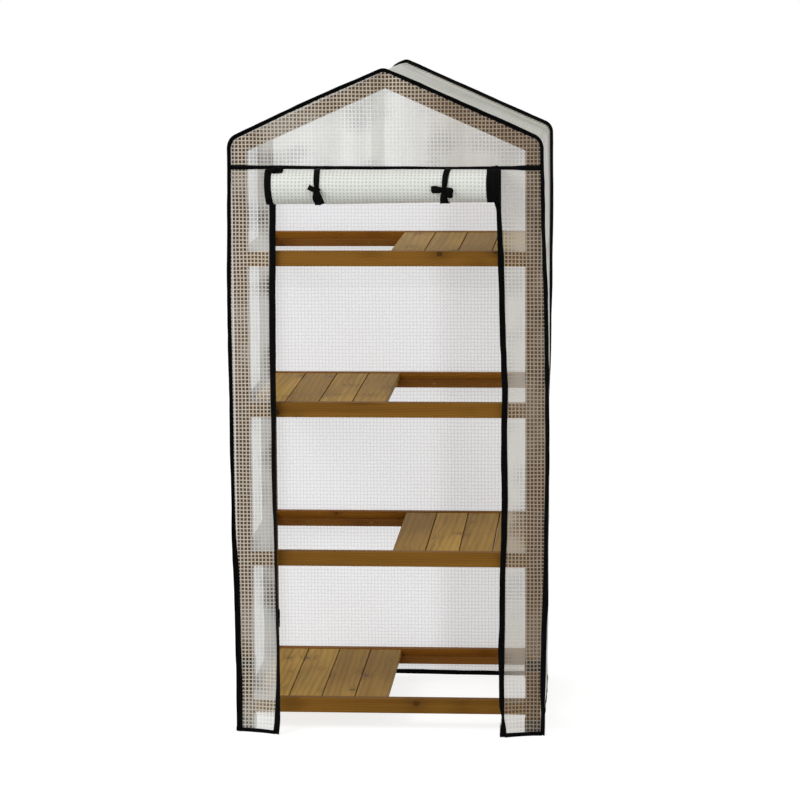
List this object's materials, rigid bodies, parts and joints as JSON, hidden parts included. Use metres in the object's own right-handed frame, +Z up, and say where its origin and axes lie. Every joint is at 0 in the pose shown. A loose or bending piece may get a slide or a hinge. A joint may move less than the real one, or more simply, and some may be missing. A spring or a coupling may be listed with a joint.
{
  "type": "mini greenhouse",
  "caption": "Small pitched greenhouse cabinet: stained wooden frame and slatted half-width shelves under a grid-reinforced film cover, its zipped door rolled up and tied.",
  "frame": {"origin": "on the ground, under the middle of the whole part's box", "axes": "+X to the right seen from the door, +Y from the door to the back, +Z up"},
  "size_m": [0.7264, 0.619, 1.5053],
  "materials": {
    "frame_wood": "stained softwood, planed, satin",
    "slat_wood": "stained softwood slats, planed, satin",
    "film": "clear film with a sewn-in white reinforcing grid",
    "binding": "woven black edging tape",
    "zip_tape": "woven black zip tape with coil teeth",
    "zip_metal": "black coated die casting",
    "screw_steel": "yellow passivated steel",
    "foot_plastic": "moulded black plastic",
    "strap": "woven black webbing",
    "ribbon": "soft black woven ribbon"
  },
  "bodies": {
    "frame": {"back_left_post": "frame_wood", "back_left_rafter": "frame_wood", "back_rail_bottom": "frame_wood", "back_rail_lower": "frame_wood", "back_rail_top": "frame_wood", "back_rail_upper": "frame_wood", "back_right_post": "frame_wood", "back_right_rafter": "frame_wood", "foot_caps": "foot_plastic", "frame_screws": "screw_steel", "front_left_post": "frame_wood", "front_left_rafter": "frame_wood", "front_rail_bottom": "frame_wood", "front_rail_lower": "frame_wood", "front_rail_top": "frame_wood", "front_rail_upper": "frame_wood", "front_right_post": "frame_wood", "front_right_rafter": "frame_wood", "ledger_screws": "screw_steel", "ledgers_bottom": "frame_wood", "ledgers_lower": "frame_wood", "ledgers_top": "frame_wood", "ledgers_upper": "frame_wood", "post_straps": "strap", "ridge_bar": "frame_wood", "side_rails_bottom": "frame_wood", "side_rails_lower": "frame_wood", "side_rails_top": "frame_wood", "side_rails_upper": "frame_wood"},
    "cover": {"back_panel": "film", "door_edge_tapes": "zip_tape", "edge_bindings": "binding", "front_left_panel": "film", "front_right_panel": "film", "gable_panel": "film", "left_door_tie": "ribbon", "left_roof_panel": "film", "left_side_panel": "film", "right_door_tie": "ribbon", "right_roof_panel": "film", "right_side_panel": "film", "rolled_door": "film", "seam_and_hem_bindings": "binding", "zip_tapes": "zip_tape"},
    "deck_bottom": {"cross_battens_bottom": "slat_wood", "deck_screws_bottom": "screw_steel", "slats_bottom": "slat_wood"},
    "deck_lower": {"cross_battens_lower": "slat_wood", "deck_screws_lower": "screw_steel", "slats_lower": "slat_wood"},
    "deck_top": {"cross_battens_top": "slat_wood", "deck_screws_top": "screw_steel", "slats_top": "slat_wood"},
    "deck_upper": {"cross_battens_upper": "slat_wood", "deck_screws_upper": "screw_steel", "slats_upper": "slat_wood"},
    "left_zip_pull": {"left_zip_pull": "zip_metal"},
    "left_zip_slider": {"left_zip_slider": "zip_metal"},
    "right_zip_pull": {"right_zip_pull": "zip_metal"},
    "right_zip_slider": {"right_zip_slider": "zip_metal"}
  },
  "joints": [
    {"name": "cover_lift", "type": "slide", "parent": "frame", "child": "cover", "axis": [0, 0, 1], "range_m": [0, 1.6]},
    {"name": "deck_bottom_slide", "type": "slide", "parent": "frame", "child": "deck_bottom", "axis": [1, 0, 0], "range_m": [0, 0.3175]},
    {"name": "deck_lower_slide", "type": "slide", "parent": "frame", "child": "deck_lower", "axis": [1, 0, 0], "range_m": [-0.3175, 0]},
    {"name": "deck_upper_slide", "type": "slide", "parent": "frame", "child": "deck_upper", "axis": [1, 0, 0], "range_m": [0, 0.3175]},
    {"name": "deck_top_slide", "type": "slide", "parent": "frame", "child": "deck_top", "axis": [1, 0, 0], "range_m": [-0.3175, 0]},
    {"name": "left_zip_run", "type": "slide", "parent": "cover", "child": "left_zip_slider", "axis": [0, 0, 1], "range_m": [-1, 0]},
    {"name": "left_zip_pull_hinge", "type": "hinge", "parent": "left_zip_slider", "child": "left_zip_pull", "pos_m": [-0.248, -0.2174, 1.27326], "axis": [-1, 0, 0], "range_deg": [0, 10]},
    {"name": "right_zip_run", "type": "slide", "parent": "cover", "child": "right_zip_slider", "axis": [0, 0, 1], "range_m": [-1, 0]},
    {"name": "right_zip_pull_hinge", "type": "hinge", "parent": "right_zip_slider", "child": "right_zip_pull", "pos_m": [0.248, -0.2174, 1.27326], "axis": [-1, 0, 0], "range_deg": [0, 10]}
  ]
}
